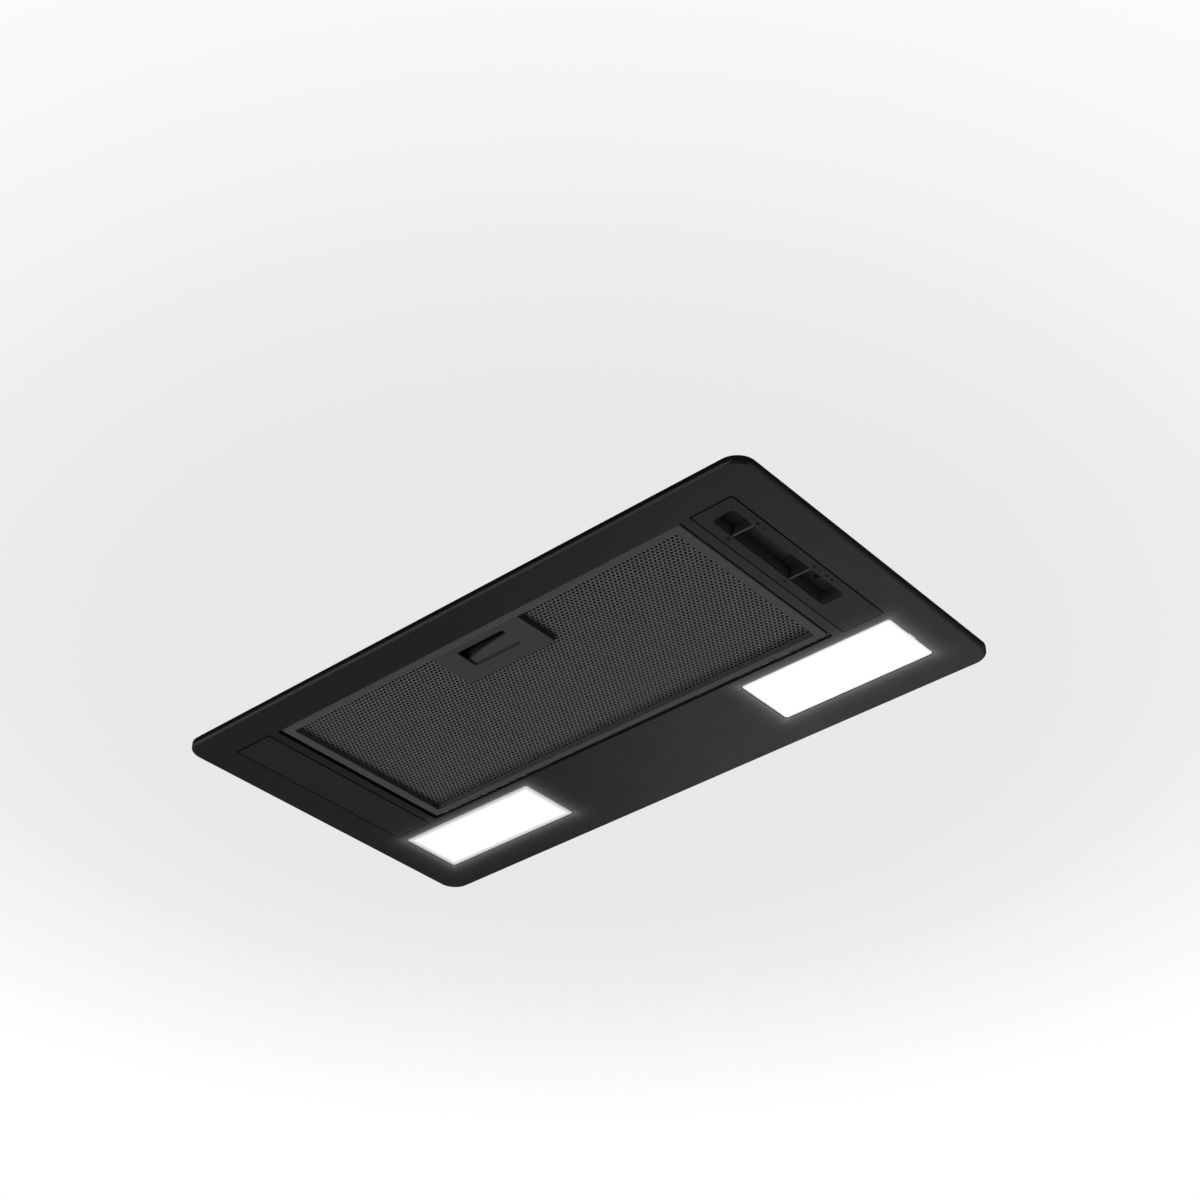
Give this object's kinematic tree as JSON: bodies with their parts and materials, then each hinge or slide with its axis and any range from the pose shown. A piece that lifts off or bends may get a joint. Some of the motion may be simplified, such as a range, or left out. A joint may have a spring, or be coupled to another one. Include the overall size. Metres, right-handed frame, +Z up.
{
  "type": "built-in range hood",
  "caption": "Built-in range hood: flush black panel with a mesh grease filter, opal lights and slide controls, and a steel housing with a blower and a round duct collar with non-return flaps.",
  "frame": {"origin": "middle of the panel, on the plane where the panel's rim bears on the underside of the cabinet board", "axes": "+Z up through the housing to the duct collar, +Y towards the wall, +X to the right of the person who stands in front"},
  "size_m": [0.534, 0.297, 0.2557],
  "materials": {
    "panel_black": "satin, fine moulded grain",
    "plate_black": "satin",
    "filter_black": "satin black coating",
    "mesh_black": "black coating, worn lighter on the strands",
    "foil": "black anodised",
    "handle_black": "satin",
    "knob_grey": "satin",
    "opal": "opal, lit",
    "galvanised": "galvanised",
    "casing_grey": "moulded",
    "wheel_grey": "moulded",
    "collar_black": "moulded",
    "steel": "bright zinc",
    "spring_steel": "drawn wire and strip",
    "motor_case": "cast",
    "lamination": "stacked plates",
    "rubber_black": "matt",
    "lead_grey": "smooth sheath",
    "board_green": "solder mask",
    "white_plastic": "moulded",
    "switch_black": "moulded",
    "capacitor_white": "moulded can"
  },
  "bodies": {
    "hood": {"face_panel": "panel_black", "control_plate": "plate_black", "blank_plate": "plate_black", "light_lens_left": "opal", "light_lens_right": "opal", "light_tray_left": "white_plastic", "light_tray_right": "white_plastic", "led_board_left": "board_green", "led_board_right": "board_green", "light_switch": "switch_black", "fan_switch": "switch_black", "control_board": "board_green", "switch_cover": "collar_black", "housing_wrap": "galvanised", "top_plate": "galvanised", "blower_casing_left": "casing_grey", "blower_casing_right": "casing_grey", "motor_stator": "lamination", "motor_bearings": "steel", "motor_case": "motor_case", "motor_bracket": "galvanised", "motor_grommets": "rubber_black", "outlet_collar": "collar_black", "flap_pins": "steel", "catch_bracket_left": "galvanised", "catch_bracket_right": "galvanised", "catch_spring_left": "spring_steel", "catch_spring_right": "spring_steel", "catch_pins": "steel", "terminal_box": "casing_grey", "terminal_lid": "casing_grey", "terminal_block": "white_plastic", "run_capacitor": "capacitor_white", "cable_gland": "collar_black", "gland_nut": "collar_black", "led_driver": "white_plastic", "motor_lead": "lead_grey", "switch_lead": "lead_grey", "light_leads": "lead_grey", "panel_screws": "steel", "light_and_switch_screws": "steel", "top_plate_screws": "steel", "terminal_lid_screws": "steel"},
    "filter": {"filter_frame": "filter_black", "filter_mesh_lower": "mesh_black", "filter_mesh_upper": "mesh_black", "filter_core": "foil", "handle_case": "handle_black", "handle_cover": "handle_black", "latch_spring": "spring_steel"},
    "blower_rotor": {"blower_wheel": "wheel_grey", "motor_shaft": "steel", "motor_rotor": "lamination"},
    "latch": {"latch_lever": "handle_black"},
    "light_slider": {"light_knob": "knob_grey"},
    "fan_slider": {"fan_knob": "knob_grey"},
    "front_flap": {"flap_front": "collar_black"},
    "rear_flap": {"flap_rear": "collar_black"},
    "catch_left": {"catch_lever_left": "white_plastic"},
    "catch_right": {"catch_lever_right": "white_plastic"}
  },
  "joints": [
    {"name": "filter_hinge", "type": "hinge", "parent": "hood", "child": "filter", "pos_m": [0, 0.0521, -0.003], "axis": [1, 0, 0], "range_deg": [0, 60]},
    {"name": "latch_slide", "type": "slide", "parent": "filter", "child": "latch", "axis": [0, 1, 0], "range_m": [0, 0.005], "stiffness_N_per_m": 800, "springref_m": -0.003, "deforming": ["latch_spring"]},
    {"name": "light_control_slide", "type": "slide", "parent": "hood", "child": "light_slider", "axis": [0, 1, 0], "range_m": [0, 0.0075]},
    {"name": "fan_control_slide", "type": "slide", "parent": "hood", "child": "fan_slider", "axis": [0, 1, 0], "range_m": [0, 0.02025]},
    {"name": "wheel_spin", "type": "hinge", "parent": "hood", "child": "blower_rotor", "pos_m": [0, -0.045, 0.118], "axis": [1, 0, 0], "continuous": true},
    {"name": "front_flap_hinge", "type": "hinge", "parent": "hood", "child": "front_flap", "pos_m": [0, 0.00155, 0.232], "axis": [-1, 0, 0], "range_deg": [0, 80]},
    {"name": "rear_flap_hinge", "type": "hinge", "parent": "hood", "child": "rear_flap", "pos_m": [0, 0.00795, 0.232], "axis": [1, 0, 0], "range_deg": [0, 80]},
    {"name": "left_catch_hinge", "type": "hinge", "parent": "hood", "child": "catch_left", "pos_m": [-0.2405, 0, 0.044], "axis": [0, -1, 0], "range_deg": [0, 18], "stiffness_Nm_per_rad": 1, "springref_deg": -11.46, "deforming": ["catch_spring_left"]},
    {"name": "right_catch_hinge", "type": "hinge", "parent": "hood", "child": "catch_right", "pos_m": [0.2405, 0, 0.044], "axis": [0, 1, 0], "range_deg": [0, 18], "stiffness_Nm_per_rad": 1, "springref_deg": -11.46, "deforming": ["catch_spring_right"]}
  ]
}
